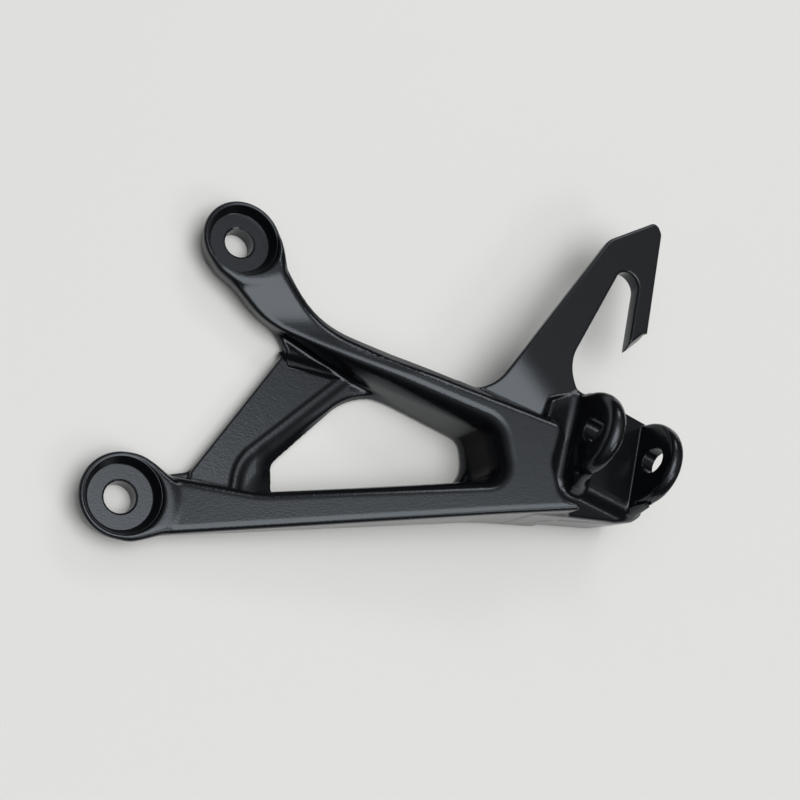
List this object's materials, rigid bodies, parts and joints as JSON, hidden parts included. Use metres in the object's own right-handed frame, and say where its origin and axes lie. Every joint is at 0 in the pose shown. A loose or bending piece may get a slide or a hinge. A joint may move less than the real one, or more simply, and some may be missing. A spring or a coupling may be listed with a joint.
{
  "type": "motorcycle footrest hanger",
  "caption": "Black cast footrest hanger with mounting eyes, a windowed V of arms, a strap hook and a clevis for the footrest's pin.",
  "frame": {"origin": "on the axis of the lower mounting eye, in the plane of the eyes' back faces", "axes": "+X along the lower arm towards the clevis, +Y towards the upper eye, +Z outward, away from the motorcycle's frame, along both eyes' bolts"},
  "size_m": [0.2007, 0.1031, 0.041],
  "materials": {
    "black_paint": "satin black paint over a cast surface"
  },
  "bodies": {
    "root": {"hanger": "black_paint"}
  },
  "joints": []
}
